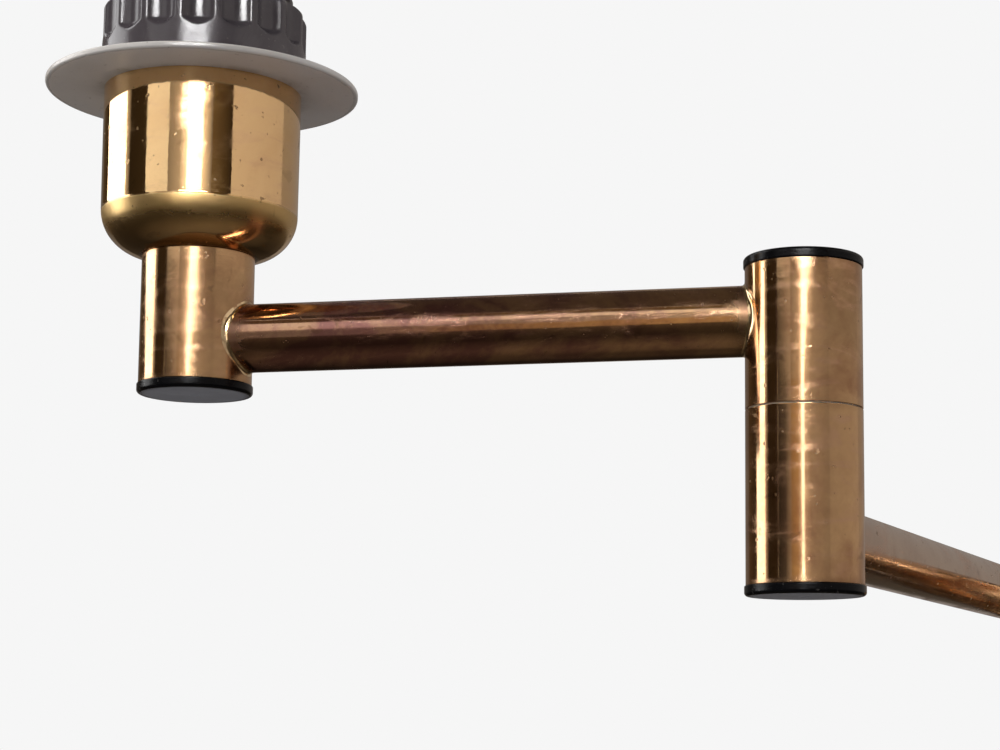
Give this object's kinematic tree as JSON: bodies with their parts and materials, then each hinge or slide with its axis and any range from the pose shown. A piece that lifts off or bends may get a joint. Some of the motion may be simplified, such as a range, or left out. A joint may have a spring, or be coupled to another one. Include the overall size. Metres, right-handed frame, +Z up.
{
  "type": "swing arm wall light",
  "caption": "Wall light with two stacked friction pivots, two level tube arms and an upright screw lampholder in a cup, under a flat shade carrier disc.",
  "frame": {"origin": "middle of the rose on the wall, at the height of the stub, where the pattern of the two wall screws is centred", "axes": "+Z up; +Y into the wall, so the arms reach towards -Y; +X to the right for someone who faces the wall. The arms stand in the pictured pose."},
  "size_m": [0.256, 0.4022, 0.225],
  "materials": {
    "polished_brass": "polished and lacquered, tarnished in places",
    "turned_brass": "plain turned",
    "contact_metal": "plated",
    "cap_black": "gloss",
    "disc_enamel": "ivory enamel",
    "holder_plastic": "dark thermoset, gloss",
    "ceramic": "glazed",
    "zinc_steel": "zinc plated",
    "nylon": "matte",
    "block_plastic": "matte",
    "switch_black": "gloss",
    "switch_nut_metal": "polished",
    "cable_sheath": "matte",
    "core_brown": "matte",
    "core_blue": "matte"
  },
  "bodies": {
    "wall_mount": {"rose_cover": "polished_brass", "rose_side_screws": "polished_brass", "backplate": "zinc_steel", "terminal_block": "block_plastic", "terminal_screws": "contact_metal", "terminal_block_screw": "zinc_steel", "earth_screw": "zinc_steel", "switch_housing": "switch_black", "switch_ring_nut": "switch_nut_metal", "stub_tube": "polished_brass", "stub_bush": "turned_brass", "stub_nipple": "turned_brass", "stub_washer": "zinc_steel", "stub_lock_nut": "turned_brass", "wall_lower_knuckle": "polished_brass", "wall_lower_cap": "cap_black", "wall_pivot_nipple": "turned_brass", "wall_anchor_nut": "turned_brass", "wall_stop_pin": "zinc_steel", "wall_seam_washer": "nylon", "wall_disc_spring": "zinc_steel", "wall_thrust_washer": "zinc_steel", "wall_lock_nut": "turned_brass", "wall_cable": "cable_sheath", "live_wires": "core_brown", "neutral_wire": "core_blue"},
    "inner_arm": {"wall_upper_knuckle": "polished_brass", "wall_upper_cap": "cap_black", "inner_arm_tube": "polished_brass", "elbow_lower_knuckle": "polished_brass", "elbow_lower_cap": "cap_black", "elbow_pivot_nipple": "turned_brass", "elbow_anchor_nut": "turned_brass", "elbow_stop_pin": "zinc_steel", "elbow_seam_washer": "nylon", "elbow_disc_spring": "zinc_steel", "elbow_thrust_washer": "zinc_steel", "elbow_lock_nut": "turned_brass", "inner_arm_cable": "cable_sheath"},
    "outer_arm": {"elbow_upper_knuckle": "polished_brass", "elbow_upper_cap": "cap_black", "outer_arm_tube": "polished_brass", "head_knuckle": "polished_brass", "head_cap": "cap_black", "head_nipple": "turned_brass", "head_nuts": "turned_brass", "cup": "polished_brass", "holder_dome": "holder_plastic", "holder_insert": "ceramic", "holder_terminals": "contact_metal", "holder_terminal_screws": "contact_metal", "screw_shell": "contact_metal", "centre_contact": "contact_metal", "holder_skirt": "holder_plastic", "shade_disc": "disc_enamel", "outer_arm_cable": "cable_sheath", "holder_cores": "core_brown"},
    "shade_ring": {"shade_ring": "holder_plastic"},
    "switch_button": {"switch_button": "switch_black"}
  },
  "joints": [
    {"name": "wall_pivot", "type": "hinge", "parent": "wall_mount", "child": "inner_arm", "pos_m": [0, -0.065, 0.02615], "axis": [0, 0, 1], "range_deg": [-135, 45]},
    {"name": "elbow_pivot", "type": "hinge", "parent": "inner_arm", "child": "outer_arm", "pos_m": [0.19092, -0.25592, 0.07175], "axis": [0, 0, 1], "range_deg": [-79.4, 240.6]},
    {"name": "shade_ring_thread", "type": "hinge", "parent": "outer_arm", "child": "shade_ring", "pos_m": [0.11111, -0.3674, 0.14955], "axis": [0, 0, 1], "range_deg": [0, 360]},
    {"name": "switch_press", "type": "slide", "parent": "wall_mount", "child": "switch_button", "axis": [0, 1, 0], "range_m": [0, 0.0025], "stiffness_N_per_m": 350, "springref_m": -0.002}
  ]
}
